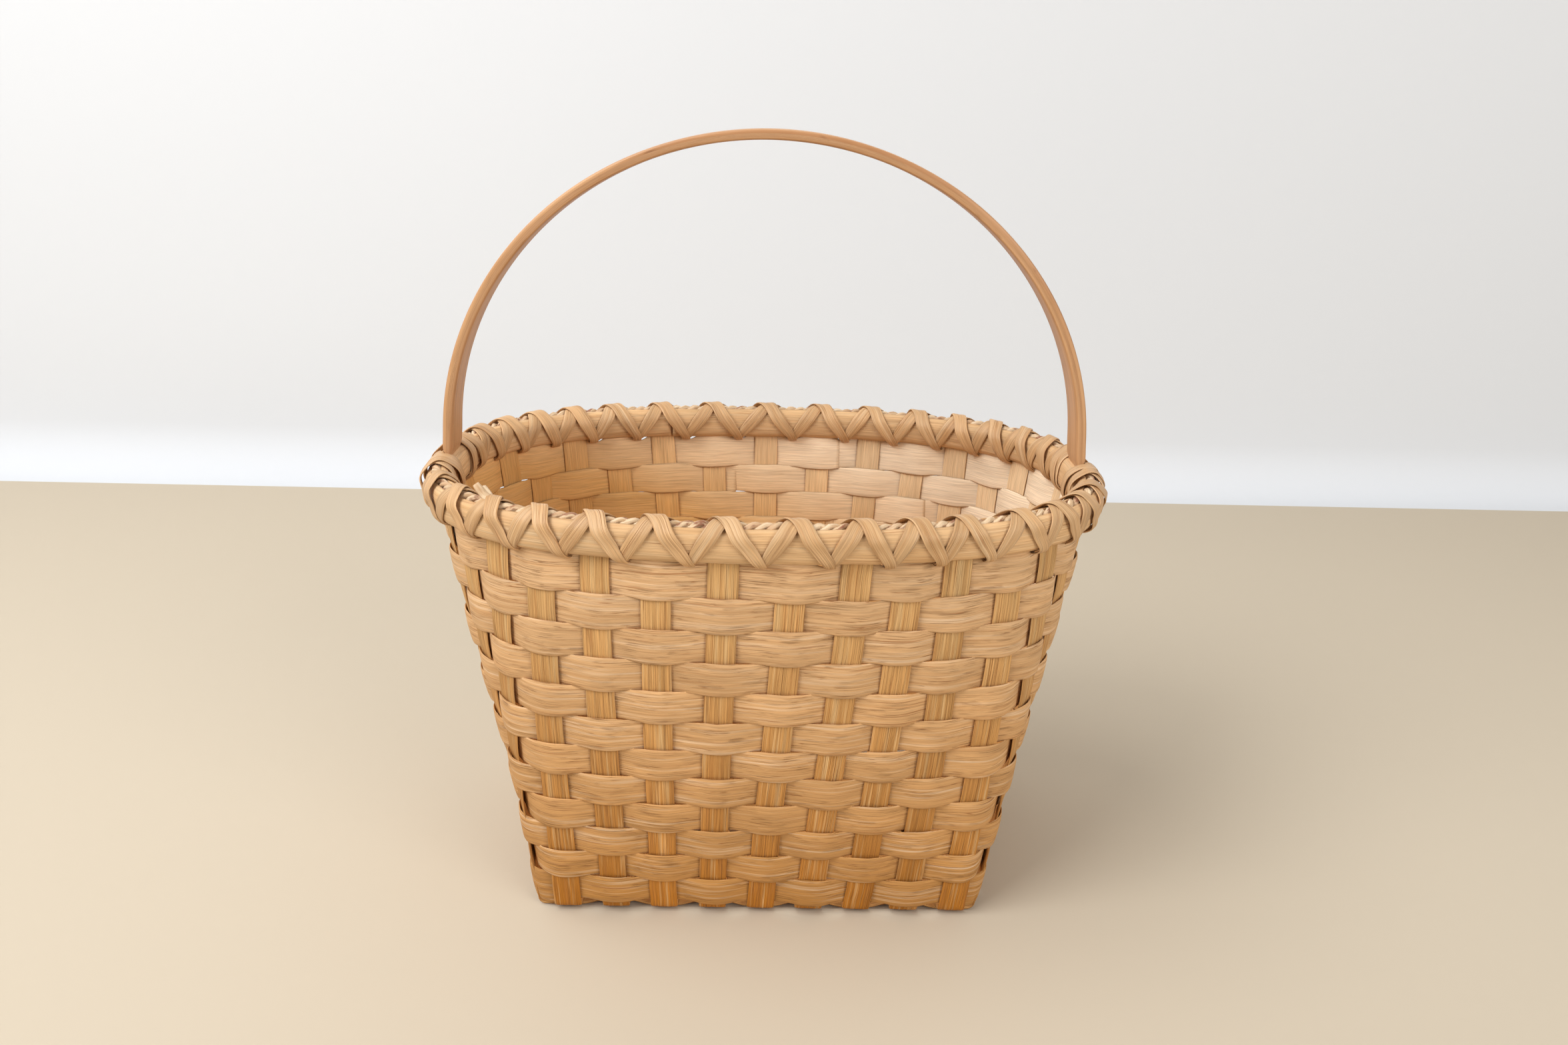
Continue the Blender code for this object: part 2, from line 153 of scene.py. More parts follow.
# Seagrass cord. Its ends are counted in stands, and each loose end has a length, a rise and a spread
cord_below_rim = 0.0011
cord_strand_radius = 0.00130
cord_twist_radius = 0.00105
cord_twist_pitch = 0.0105
cord_roughness = 0.06
cord_from_handle = 0.62
loose_ends_place = 25.95
loose_ends_above_rim = 0.0004
loose_end_fullness = 1.5
loose_end_taper = 0.4
loose_end_sizes = ((0.0080, 0.0066, 0.0016), (0.0074, 0.0046, -0.0020))

# Lashing. The jog is counted in stands. Low on the rim the strands are pinched narrower
lash_width = 0.0070
lash_thickness = 0.0009
lash_slack = 0.0003
lash_gap = 0.0001
lash_hook = 0.0002
lash_over_rim = 0.0012
lash_bow = 0.00012
lash_ridge = 0.00005
lash_jog = 0.02
lash_pinch = 0.34
lash_pinch_from = 0.25
lash_pinch_fade = 0.85
lash_from_handle = 0.0006

# Handle. It widens and thickens upward, each from a depth under the rim and within a length
handle_width = 0.0195
handle_thickness = 0.0050
handle_taper = 0.0003
tail_width = 0.011
tail_thickness = 0.0022
tail_above_rim = 0.0005
leg_set_in = 0.0016
spring_above_rim = 0.005
widening_depth = 0.012
widening_length = 0.010
thickening_depth = 0.001
thickening_length = 0.007
handle_flat_roundness = 0.26
handle_edge_roundness = 0.36
handle_section_turn = 0.02
handle_fibre_shift = 0.03

# Reed sections: squareness and roundness of the edges, ridges, how far across the fibres of an
# inner face are kept from those of the outer face, and what the pieces' own numbers stay below
edge_squareness = 5
edge_roundness = 0.45
ridge_rings = 12
ridge_drift = 0.6
ridge_edge = 0.97
inner_face_shift = 0.05
fibre_seeds = 97

# Colour of the reeds: up to which height it is deeper and darker towards the bottom, the two heights
# between which the inner faces turn from painted shade to paler painted light and how much lower that
# is towards +X, and how strong the inner marks are
deeper_colour_height = 0.19
inner_painted_light = (0.13, 0.20, 0.38)
inner_marks = 0.22
groove_colour = (0.37, 0.140, 0.042)
reed_relief = 0.00016

# Steps along the pieces and points round them
weaver_steps = 14
rim_row_steps = 8
weaver_points = 13
stake_wall_steps = 68
stake_bend_steps = 8
stake_points = 19
cross_flat_steps = 24
long_flat_steps = 150
rim_reed_steps = 14
rim_reed_points = 17
rim_flat_side_step = 4
cord_steps = 30
strand_sides = 10
loose_end_steps = 12
lash_steps = 4
lash_points = 13
arch_steps = 181
tail_steps = 26
handle_sides = 44


# Small tools

upright = np.array((0.0, 0.0, 1.0))


def unit(vectors):
    return vectors / np.linalg.norm(vectors, axis=-1, keepdims=True)


def square_to(vectors, direction):
    """Unit vectors turned square to a direction."""
    return unit(vectors - direction * (vectors * direction).sum(-1, keepdims=True))


def column(values):
    """A list of numbers as a column, which scales a list of vectors."""
    return np.asarray(values, float)[..., None]


def ease(part):
    """From 0 to 1 with level ends."""
    part = np.clip(part, 0.0, 1.0)
    return part * part * (3.0 - 2.0 * part)


def bump(part):
    """1 at nought, falling to 0 at 1 and -1."""
    return 1.0 - ease(np.abs(part))


def wander(seed, distance, spacing, size):
    """A smooth random line at distances from its start, the last one the longest."""
    distance = np.asarray(distance, float)
    knots = np.random.default_rng(seed).normal(0.0, size, int(distance[-1] / spacing) + 4)
    step = np.floor(distance / spacing).astype(int)
    part = ease(distance / spacing - step)
    return knots[step] * (1.0 - part) + knots[step + 1] * part


def lengths_along(points):
    steps = np.linalg.norm(np.diff(points, axis=0), axis=1)
    return np.concatenate(([0.0], np.cumsum(steps)))


def smooth_path(points, rounds):
    """Points with corners rounded off by averaging each with its neighbours."""
    points = points.copy()
    for _ in range(rounds):
        points[1:-1] = points[1:-1] * 0.5 + (points[:-2] + points[2:]) * 0.25
    return points


def curve_through(points, steps):
    """A smooth curve through points, in this many steps from each to the next."""
    last = len(points) - 1
    fine = np.linspace(0.0, last, last * steps + 1)
    index = np.minimum(np.floor(fine).astype(int), last - 1)
    part = column(fine - index)
    before = points[np.maximum(index - 1, 0)]
    near = points[index]
    far = points[index + 1]
    after = points[np.minimum(index + 2, last)]
    return 0.5 * (
        2 * near + (far - before) * part + (2 * before - 5 * near + 4 * far - after) * part ** 2
        + (3 * near - before - 3 * far + after) * part ** 3
    )


def skin(name, tubes, grains, material, replaced):
    """One piece made of tubes of rings. Its grains give each point its place in the fibres."""
    points = np.concatenate([tube.reshape(-1, 3) for tube in tubes])
    fibres = np.concatenate([grain.reshape(-1, 3) for grain in grains])
    faces = []
    first = 0
    for tube in tubes:
        count, corners = tube.shape[:2]
        ring = np.arange(corners)
        after = (ring + 1) % corners
        last = first + (count - 1) * corners
        for low in range(first, last, corners):
            quads = np.stack((low + ring, low + after, low + corners + after, low + corners + ring), axis=1)
            faces.extend(quads.tolist())
        faces.append((first + ring[::-1]).tolist())
        faces.append((last + ring).tolist())
        first = last + corners
    mesh = bpy.data.meshes.new(name)
    mesh.from_pydata(points.tolist(), [], faces)
    layer = mesh.attributes.new("grain", "FLOAT_VECTOR", "POINT")
    layer.data.foreach_set("vector", fibres.astype(np.float32).ravel())
    mesh.validate()
    mesh.shade_smooth()
    mesh.materials.append(material)
    piece = bpy.data.objects.new(name, mesh)
    bpy.context.scene.collection.objects.link(piece)
    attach(piece, body)
    if replaced:
        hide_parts(*replaced)


def fibre_places(along, across, seed):
    """Each point's place in the fibres: lengthwise, across, and the piece's own number."""
    return np.stack(np.broadcast_arrays(column(along), across, float(seed % fibre_seeds)), axis=-1)


def flat_section(count):
    """Outline of a flat reed as shares of its half width and half thickness, outer face first."""
    across = -np.cos(np.linspace(0.0, math.pi, count))
    thick = (1.0 - np.abs(across) ** edge_squareness) ** edge_roundness
    inner = slice(count - 2, 0, -1)
    return np.concatenate((across, across[inner])), np.concatenate((thick, -thick[inner]))


def ridges(seed, along, points, size):
    """Ridges and grooves for the points of a reed's section, which change slowly along it."""
    rng = np.random.default_rng(seed)
    steady = rng.normal(0.0, size, points)
    drift = rng.normal(0.0, size, (len(along) // ridge_rings + 3, points))
    place = along / along[-1] * (len(drift) - 2)
    step = np.floor(place).astype(int)
    part = column(ease(place - step))
    return steady + ridge_drift * (drift[step] * (1 - part) + drift[step + 1] * part)


def flat_reed(centre, across, outward, width, thickness, seed, points, ridge, bow=0.0, shift=0.0):
    """Rings and grain of a flat reed along a line, with fibres that run its whole length.

    Where the line leaves the fibres' own line, shift says how far it lies to the side of that.
    """
    share, thick = flat_section(points)
    along = lengths_along(centre)
    width, thickness, bow, shift = (
        column(np.broadcast_to(value, along.shape)) for value in (width, thickness, bow, shift)
    )
    half = width / 2 * share
    uneven = ridges(seed, along, len(share), ridge) * np.sign(thick) * (np.abs(share) < ridge_edge)
    rise = thickness / 2 * thick + uneven + bow * (1.0 - share ** 2)
    rings = centre[:, None] + across[:, None] * half[..., None] + outward[:, None] * rise[..., None]
    return rings, fibre_places(along, half + shift + inner_face_shift * (thick < 0), seed)


# The stakes' lines, read from the frame

def wall_corners(node, axis, side):
    """Corners of a stake's sections up the wall on one side, four to a section, highest first."""
    found = []
    points = sorted((vertex.co.copy() for vertex in nodes[node].data.vertices), key=lambda co: -co.z)
    for point in points:
        new = all((point - other).length > same_corner for other in found)
        if point[axis] * side > 0 and point.z > base_zone and new:
            found.append(point)
    return np.array(found[:len(found) // 4 * 4])


def height_part(height):
    """0 at the base, 1 at the rim."""
    return (height - base_middle) / (rim_height - base_middle)


def swell(part):
    """How far the wall stands outside a straight one."""
    return 4.0 * wall_swell * part * (1.0 - part)


def swell_slope(part):
    """How fast the swell grows from the base to the rim."""
    return 4.0 * wall_swell * (1.0 - 2.0 * part)


def across_section(corners, sideways):
    """The long edge's direction of one section, turned the way that sideways points."""
    edges = sorted((corners[k] - corners[0] for k in (1, 2, 3)), key=np.linalg.norm)
    return unit(edges[1] * np.sign(np.dot(edges[1], sideways)))


class Stands:
    """The lines of the stakes up the wall, counter-clockwise from the +X end's front."""

    def __init__(self, sides):
        foot, top, foot_side, top_side = [], [], [], []
        for node, axis, side in sides:
            corners = wall_corners(node, axis, side)
            facing = np.zeros(3)
            facing[axis] = side
            sideways = np.cross(upright, facing)
            straight = []
            for section in (corners[:4], corners[-4:]):
                middle = section.mean(0)
                outward = unit(np.cross(across_section(section, sideways), upright))
                straight.append(middle - outward * swell(height_part(middle[2])))
            high, low = straight
            rise = unit(high - low)
            top.append(high + rise * (rim_height - high[2]) / rise[2])
            foot.append(high + rise * (base_middle - high[2]) / rise[2])
            foot_side.append(sideways)
            top_side.append(across_section(corners[:4], sideways))
        self.foot = np.array(foot)
        self.top = np.array(top)
        self.foot_side = np.array(foot_side)
        self.top_side = np.array(top_side)
        self.rise = self.top - self.foot
        self.steepness = unit(self.rise)[:, 2]

    def frame(self, index, height):
        """Centre and the directions sideways and up of stakes at a height."""
        index = np.asarray(index) % stand_count
        part = column(height_part(height))
        turned = np.clip(part, 0.0, 1.0)
        turned = turned * (1.0 + twist_lead * (1.0 - turned))
        side = self.foot_side[index] * (1 - turned) + self.top_side[index] * turned
        outward = unit(np.cross(side, upright))
        centre = self.foot[index] + self.rise[index] * part + outward * swell(part)
        up = unit(self.rise[index] + outward * swell_slope(part))
        return centre, square_to(side, up), up


right_nodes = [(f"long_stake_{n}", 0, 1) for n in range(1, long_stakes + 1)]
back_nodes = [(f"cross_stake_{n}", 1, 1) for n in range(cross_stakes, 0, -1)]
left_nodes = [(f"long_stake_{n}", 0, -1) for n in range(long_stakes, 0, -1)]
front_nodes = [(f"cross_stake_{n}", 1, -1) for n in range(1, cross_stakes + 1)]
stands = Stands(right_nodes + back_nodes + left_nodes + front_nodes)


def wall(position, height):
    """The wall's middle at a place round it: point, directions along, up and outward, and pitch."""
    position = np.asarray(position, float)
    height = np.broadcast_to(np.asarray(height, float), position.shape)
    index = np.floor(position).astype(int)
    part = column(position - index)
    near, near_side, near_up = stands.frame(index, height)
    far, far_side, far_up = stands.frame(index + 1, height)
    pitch = np.linalg.norm(far - near, axis=-1, keepdims=True)
    start = near_side * pitch
    end = far_side * pitch
    square = part ** 2
    cube = part ** 3
    centre = (
        near * (2 * cube - 3 * square + 1) + start * (cube - 2 * square + part)
        + far * (3 * square - 2 * cube) + end * (cube - square)
    )
    along = unit(
        near * (6 * square - 6 * part) + start * (3 * square - 4 * part + 1)
        + far * (6 * part - 6 * square) + end * (3 * square - 2 * part)
    )
    up = near_up * (1 - part) + far_up * part
    outward = unit(np.cross(along, up))
    return centre, along, np.cross(outward, along), outward, pitch[..., 0]


# Materials

class Nodes:
    """Adds shader nodes to a material and joins them."""

    def __init__(self, name, roughness, specular):
        self.material = bpy.data.materials.new(name)
        self.material.use_nodes = True
        self.tree = self.material.node_tree
        self.shader = self.tree.nodes["Principled BSDF"]
        self.shader.inputs["Roughness"].default_value = roughness
        self.shader.inputs["Specular IOR Level"].default_value = specular

    def add(self, kind, **settings):
        node = self.tree.nodes.new(kind)
        for key, value in settings.items():
            setattr(node, key, value)
        return node

    def put(self, value, socket):
        """Joins an output to a socket, or sets the socket where the value is a constant."""
        if isinstance(value, bpy.types.NodeSocket):
            self.tree.links.new(value, socket)
        else:
            socket.default_value = value

    def fibres(self):
        """Lengthwise, across and seed of the piece's grain."""
        grain = self.add("ShaderNodeAttribute", attribute_name="grain")
        split = self.add("ShaderNodeSeparateXYZ")
        self.put(grain.outputs["Vector"], split.inputs[0])
        return split.outputs

    def maths(self, operation, *values):
        node = self.add("ShaderNodeMath", operation=operation)
        for value, socket in zip(values, node.inputs):
            self.put(value, socket)
        return node.outputs[0]

    def streaks(self, fibre, along, across, detail=3.0, shift=0.0):
        """Noise from 0 to 1 in streaks, with so many to a metre along and across the fibres."""
        vector = self.add("ShaderNodeCombineXYZ")
        self.put(self.maths("MULTIPLY", fibre[0], along), vector.inputs[0])
        self.put(self.maths("MULTIPLY", fibre[1], across), vector.inputs[1])
        self.put(self.maths("MULTIPLY_ADD", fibre[2], 7.31, shift), vector.inputs[2])
        noise = self.add("ShaderNodeTexNoise")
        noise.inputs["Scale"].default_value = 1.0
        noise.inputs["Detail"].default_value = detail
        noise.inputs["Roughness"].default_value = 0.6
        self.put(vector.outputs[0], noise.inputs["Vector"])
        return noise.outputs["Fac"]

    def hairlines(self, fibre, along, across, width, shift):
        """1 in thin lines that follow the fibres and wander a little, 0 between them."""
        value = self.streaks(fibre, along, across, 1.0, shift)
        away = self.maths("ABSOLUTE", self.maths("SUBTRACT", value, 0.5))
        return self.ramp(away, 0.0, width, 1.0, 0.0)

    def ramp(self, value, low, high, start=0.0, end=1.0):
        """Start where the value is low, end where it is high, and in between what lies between."""
        node = self.add("ShaderNodeMapRange", clamp=True)
        self.put(value, node.inputs["Value"])
        node.inputs["From Min"].default_value = low
        node.inputs["From Max"].default_value = high
        node.inputs["To Min"].default_value = start
        node.inputs["To Max"].default_value = end
        return node.outputs[0]

    def blend(self, amount, first, second):
        node = self.add("ShaderNodeMix", data_type="RGBA")
        self.put(amount, node.inputs[0])
        for colour, socket in ((first, node.inputs[6]), (second, node.inputs[7])):
            self.put((*colour, 1.0) if isinstance(colour, tuple) else colour, socket)
        return node.outputs[2]

    def height_share(self, low, high, lean=0.0):
        """0 at the height low, 1 at the height high. With a lean both come lower towards +X."""
        place = self.add("ShaderNodeNewGeometry")
        split = self.add("ShaderNodeSeparateXYZ")
        self.put(place.outputs["Position"], split.inputs[0])
        height = self.maths("ADD", split.outputs[2], self.maths("MULTIPLY", split.outputs[0], lean))
        return self.ramp(height, low, high)

    def by_face(self, fibre, outer, inner):
        """One value on a reed's outer face and another on its inner face."""
        return self.ramp(fibre[1], 0.60 * inner_face_shift, 0.62 * inner_face_shift, outer, inner)

    def relief(self, height, depth):
        node = self.add("ShaderNodeBump")
        node.inputs["Distance"].default_value = depth
        node.inputs["Strength"].default_value = 1.0
        self.put(height, node.inputs["Height"])
        self.put(node.outputs[0], self.shader.inputs["Normal"])


def reed(name, high, low, pale, dark, lines, lined, patches=(30.0, 200.0), contrast=1.0, cracks=0.5,
         roughness=0.66, specular=0.15, inner=None):
    """Stained reed: fibres, paler and darker streaks, thin dark splits, deeper colour low down.

    lines gives the hairlines' streaks to a metre along and across, patches those of the places
    that have them, and lined how strong they are outside and inside such places.
    """
    make = Nodes(name, roughness, specular)
    fibre = make.fibres()
    fine = make.streaks(fibre, 55.0, 2300.0, 2.0)
    broad = make.streaks(fibre, 14.0, 520.0, 3.0, 3.7)
    patch = make.streaks(fibre, 11.0, 60.0, 2.0, 8.1)
    split = make.streaks(fibre, 26.0, 1300.0, 2.0, 15.3)
    strip = make.streaks(fibre, 0.4, 0.4, 0.0, 21.9)
    line_place = make.streaks(fibre, *patches, 2.0, 33.1)

    # The outer colour is deeper and darker towards the bottom
    base = make.blend(make.height_share(0.0, deeper_colour_height), low, high)
    paler = make.ramp(broad, 0.52, 0.74, 0.0, 0.75 * contrast)
    darker = make.ramp(broad, 0.46, 0.26, 0.0, 0.70 * contrast)
    marks = 1.0
    if inner:
        marks = make.by_face(fibre, 1.0, inner_marks)
        # Painted light and shade on the inner faces: from the deeper low colour, painted shade, to the paler
        # high colour, painted light, higher up and lower down towards +X
        inner_lit_and_shaded = make.blend(make.height_share(*inner_painted_light), *inner)
        base = make.blend(make.by_face(fibre, 0.0, 1.0), base, inner_lit_and_shaded)
        paler = make.maths("MULTIPLY", paler, marks)
        darker = make.maths("MULTIPLY", darker, marks)
    base = make.blend(paler, base, pale)
    base = make.blend(darker, base, dark)

    shade = make.ramp(fine, 0.25, 0.75, 1.0 - 0.23 * contrast, 1.0 + 0.17 * contrast)
    shade = make.maths("MULTIPLY", shade, make.ramp(patch, 0.3, 0.7, 0.90, 1.08))
    shade = make.maths("MULTIPLY", shade, make.ramp(strip, 0.3, 0.7, 0.93, 1.07))
    toned = make.add("ShaderNodeVectorMath", operation="SCALE")
    make.put(base, toned.inputs[0])
    make.put(shade, toned.inputs["Scale"])

    groove = make.ramp(split, 0.40, 0.32, 0.0, cracks)
    groove = make.maths("MULTIPLY", groove, make.ramp(patch, 0.42, 0.58))
    line = make.hairlines(fibre, *lines, 0.03, 27.7)
    line = make.maths("MULTIPLY", line, make.ramp(line_place, 0.46, 0.64, *lined))
    groove = make.maths("MULTIPLY", make.maths("MAXIMUM", groove, line), marks)

    make.put(make.blend(groove, toned.outputs[0], groove_colour), make.shader.inputs["Base Color"])
    make.put(make.ramp(broad, 0.3, 0.7, roughness - 0.08, roughness + 0.08), make.shader.inputs["Roughness"])
    relief = make.maths("ADD", fine, make.maths("MULTIPLY", broad, 1.2))
    make.relief(make.maths("SUBTRACT", relief, make.maths("MULTIPLY", groove, 1.5)), reed_relief)
    return make.material


# The inner colours, low and high, are painted shade and painted light
weaver_look = reed(
    "weaver_reed", high=(0.72, 0.450, 0.235), low=(0.52, 0.245, 0.062),
    pale=(0.81, 0.59, 0.39), dark=(0.52, 0.265, 0.105), inner=((0.75, 0.425, 0.155), (1.0, 0.80, 0.57)),
    lines=(34.0, 1500.0), lined=(0.0, 0.90), patches=(75.0, 300.0), cracks=0.62,
)
# The inner colours, low and high, are painted shade and painted light
stake_look = reed(
    "stake_reed", high=(0.69, 0.405, 0.165), low=(0.48, 0.175, 0.016),
    pale=(0.76, 0.52, 0.26), dark=(0.42, 0.17, 0.045), inner=((0.70, 0.380, 0.130), (0.92, 0.66, 0.39)),
    lines=(7.0, 2500.0), lined=(0.45, 1.0), cracks=0.6,
)
rim_look = reed(
    "rim_reed", high=(0.71, 0.445, 0.225), low=(0.64, 0.37, 0.16),
    pale=(0.76, 0.55, 0.33), dark=(0.52, 0.28, 0.11),
    lines=(10.0, 900.0), lined=(0.0, 0.45), contrast=0.85, cracks=0.4, roughness=0.55,
)
lash_look = reed(
    "lash_reed", high=(0.59, 0.355, 0.170), low=(0.58, 0.34, 0.15),
    pale=(0.70, 0.48, 0.275), dark=(0.44, 0.215, 0.075),
    lines=(9.0, 1100.0), lined=(0.2, 0.75), contrast=1.1, cracks=0.4, roughness=0.46, specular=0.4,
)


def seagrass_material():
    """Pale twisted grass with brown tints and dark red-brown spots."""
    make = Nodes("seagrass", 0.7, 0.3)
    fibre = make.fibres()
    broad = make.streaks(fibre, 120.0, 900.0, 3.0)
    spot = make.streaks(fibre, 160.0, 300.0, 3.0, 5.0)
    tint = make.streaks(fibre, 45.0, 90.0, 1.0, 11.0)
    base = make.blend(make.ramp(broad, 0.3, 0.7), (0.48, 0.295, 0.15), (0.84, 0.66, 0.45))
    base = make.blend(make.ramp(tint, 0.52, 0.62, 0.0, 0.6), base, (0.55, 0.32, 0.17))
    base = make.blend(make.ramp(spot, 0.55, 0.63, 0.0, 0.85), base, (0.26, 0.090, 0.045))
    make.put(base, make.shader.inputs["Base Color"])
    make.relief(broad, 0.0003)
    return make.material


def handle_material():
    """Darker wood with long grain, paler patches and dark pores."""
    make = Nodes("handle_wood", 0.48, 0.45)
    fibre = make.fibres()
    long_grain = make.streaks(fibre, 9.0, 420.0, 4.0)
    pores = make.streaks(fibre, 60.0, 1900.0, 2.0, 4.0)
    patch = make.streaks(fibre, 14.0, 45.0, 2.0, 9.0)
    base = make.blend(make.ramp(long_grain, 0.32, 0.68), (0.41, 0.190, 0.074), (0.63, 0.360, 0.173))
    base = make.blend(make.ramp(patch, 0.35, 0.7, 0.0, 0.35), base, (0.64, 0.37, 0.20))
    base = make.blend(make.ramp(pores, 0.36, 0.26, 0.0, 0.6), base, (0.20, 0.085, 0.035))
    make.put(base, make.shader.inputs["Base Color"])
    make.put(make.ramp(long_grain, 0.3, 0.7, 0.42, 0.56), make.shader.inputs["Roughness"])
    make.relief(make.maths("ADD", pores, long_grain), 0.00012)
    return make.material


seagrass_look = seagrass_material()
handle_look = handle_material()


# Weavers

def woven_offset(near_sign, far_sign, part, pitch, contact, near_out, far_out, crown):
    """How far a reed lies outside the middle while it passes from one crossing to the next.

    It lies on a crossing for the length contact on each side, in a low arch that is crown high,
    and goes from one arch to the next on a smooth curve.
    """
    start = np.minimum(contact, pitch * longest_contact)
    slope = -2.0 * crown / start
    length = pitch - 2.0 * start
    from_near = part * pitch
    from_far = pitch - from_near
    over_near = near_out + near_sign * crown * (1.0 - (from_near / start) ** 2)
    over_far = far_out + far_sign * crown * (1.0 - (from_far / start) ** 2)
    part = np.clip((from_near - start) / length, 0.0, 1.0)
    square = part ** 2
    cube = part ** 3
    between = (
        near_out * (2 * cube - 3 * square + 1) + near_sign * slope * length * (cube - 2 * square + part)
        + far_out * (3 * square - 2 * cube) - far_sign * slope * length * (cube - square)
    )
    return np.where(from_near < start, over_near, np.where(from_far < start, over_far, between))


def row_middle(row):
    low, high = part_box(f"weaver_{row:02d}")
    return (low.z + high.z) / 2


tail_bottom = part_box("handle")[0].z
row_middles = [row_middle(row) for row in range(weaver_rows + 1)]
row_widths = [rim_row_width] + [-pitch * weaver_share_of_pitch for pitch in np.gradient(row_middles[1:])]


def side_of(index, row):
    """1 where a weaver passes outside a stake, -1 where it passes inside."""
    return np.where((index + row) % 2 == 0, 1.0, -1.0)


def reach_of(index, row):
    """How far from the middle a weaver touches a stake, or the handle's tail beside it."""
    sign = side_of(index, row)
    at_handle = np.isin(index % stand_count, handle_stands)
    above_tail_end = row_middles[row] + row_widths[row] / 2 > tail_bottom
    round_tail = at_handle & above_tail_end & (sign < 0)
    return sign * weaver_edge_out - np.where(round_tail, tail_thickness + clearance, 0.0)


def weaver_drop(row, run, seed):
    """How far a weaver strays up and down. Neighbouring rows stray much alike."""
    level = row / weaver_rows
    drop = wander(seed, run, spacing=0.04, size=0.00010)
    drop += wander(91, run, spacing=0.05, size=row_wander) * (1.0 - level)
    drop += wander(92, run, spacing=0.05, size=row_wander) * level
    return drop


def weaver_edges(row, position):
    """How much wider a weaver is at its upper edge and at its lower edge."""
    between = position - np.floor(position) - 0.5
    upper = first_row_tuck * (row == 1) * (1.0 - bump(between / first_row_notch))
    corner = (position - long_stakes + 0.5 + stand_count) % long_stakes
    corner = bump(np.minimum(corner, long_stakes - corner) / last_row_corner)
    return upper, last_row_droop * (row == weaver_rows) * corner


def weaver_waist(row, position):
    """How much wider a weaver is where it crosses a stake than between stakes."""
    away = 0.5 - np.abs(position - np.floor(position) - 0.5)
    return weaver_swell * (row > 0) * (1.0 - ease((away - weaver_flat) / (weaver_narrow - weaver_flat)))


def weaver(row):
    """One row: once round the wall, with thinned ends that lie over each other at the back."""
    steps = weaver_steps if row else rim_row_steps
    stands_round = stand_count + lap_stands
    start = first_back_stand + 1 + (row * 2) % (cross_stakes - lap_stands - 1) - weaver_overhang
    end = start + stands_round - 1 + 2 * weaver_overhang
    position = np.linspace(start, end, stands_round * steps + 1)
    seed = 100 + row
    run = lengths_along(wall(position, row_middles[row])[0])
    centre, along, up, outward, pitch = wall(position, row_middles[row] + weaver_drop(row, run, seed))

    index = np.floor(position).astype(int)
    out = woven_offset(
        side_of(index, row), side_of(index + 1, row), position - index, pitch,
        stake_width / 2 - weaver_let_go, reach_of(index, row), reach_of(index + 1, row),
        weaver_crown if row else 0.0,
    )
    out += wander(seed + 40, run, spacing=0.02, size=0.00006)
    lap = lap_stands - lap_cut_short
    inner_lap = 1.0 - ease((position - start) / lap)
    outer_lap = 1.0 - ease((end - position) / lap)
    out += weaver_thickness * lap_apart * (ease(outer_lap * 4) - ease(inner_lap * 4))
    thinned = np.maximum(inner_lap, outer_lap) ** lap_thinning_curve
    thickness = weaver_thickness * (1.0 - lap_thinning * thinned)

    upper, lower = weaver_edges(row, position)
    width = row_widths[row] + upper + lower + weaver_waist(row, position)
    width += wander(seed + 80, run, spacing=0.03, size=0.00012)
    off_line = (upper - lower) / 2
    roll = wander(seed + 120, run, spacing=0.03, size=0.015)
    slope = column(np.gradient(out, run))
    facing = unit(outward - along * slope + up * column(roll))
    across = unit(np.cross(facing, unit(along + outward * slope)))
    rings, grain = flat_reed(
        centre + outward * column(out) + up * column(off_line), across, facing, width, thickness, seed,
        weaver_points, weaver_ridge, weaver_bow * out / (weaver_edge_out + weaver_crown), off_line,
    )
    skin(f"weaver_reed_{row:02d}", [rings], [grain], weaver_look, [f"weaver_{row:02d}"])


for row in range(weaver_rows + 1):
    weaver(row)


# Stakes

def wall_run(index, level, seed):
    """A stake's line from its cut top down to the bend: points, and directions across and out."""
    top = rim_height - stake_top_below_rim * stands.steepness[index]
    height = np.linspace(top, level + bend_above_base, stake_wall_steps)
    centre, side, up = stands.frame(np.full(len(height), index), height)
    outward = unit(np.cross(side, up))
    row = np.interp(-height, -np.array(row_middles), np.arange(weaver_rows + 1))
    loose = ease((rim_height - still_below_rim - height) / still_below_rim)
    loose *= ease((height - level - still_above_base) / still_fade)
    give = -stake_give * np.cos(math.pi * (row + index)) * loose
    sway = wander(seed, top - height, spacing=0.05, size=stake_sway) * loose
    return centre + outward * column(give) + side * column(sway), side, outward


def bend_run(index, level):
    """The bend from the wall into the base, wall side first: points, and directions across and out."""
    facing = np.cross(stands.foot_side[index], upright)
    corner, side, up = (line[0] for line in stands.frame(np.array([index]), np.array([level])))
    start = corner + up * bend_reach
    end = corner - facing * bend_reach
    part = column(np.linspace(bend_first_share, 1.0, stake_bend_steps))
    points = start * (1 - part) ** 2 + corner * 2 * part * (1 - part) + end * part ** 2
    heading = unit((corner - start) * (1 - part) + (end - corner) * part)
    across = unit(side * (1 - part) + np.cross(upright, facing) * part)
    return points, across, unit(np.cross(heading, across))


def down_to_base(index, level, seed):
    """A stake's line down the wall and round its bend: points, and directions across and out."""
    pairs = zip(wall_run(index, level, seed + index), bend_run(index, level))
    return [np.concatenate(pair) for pair in pairs]


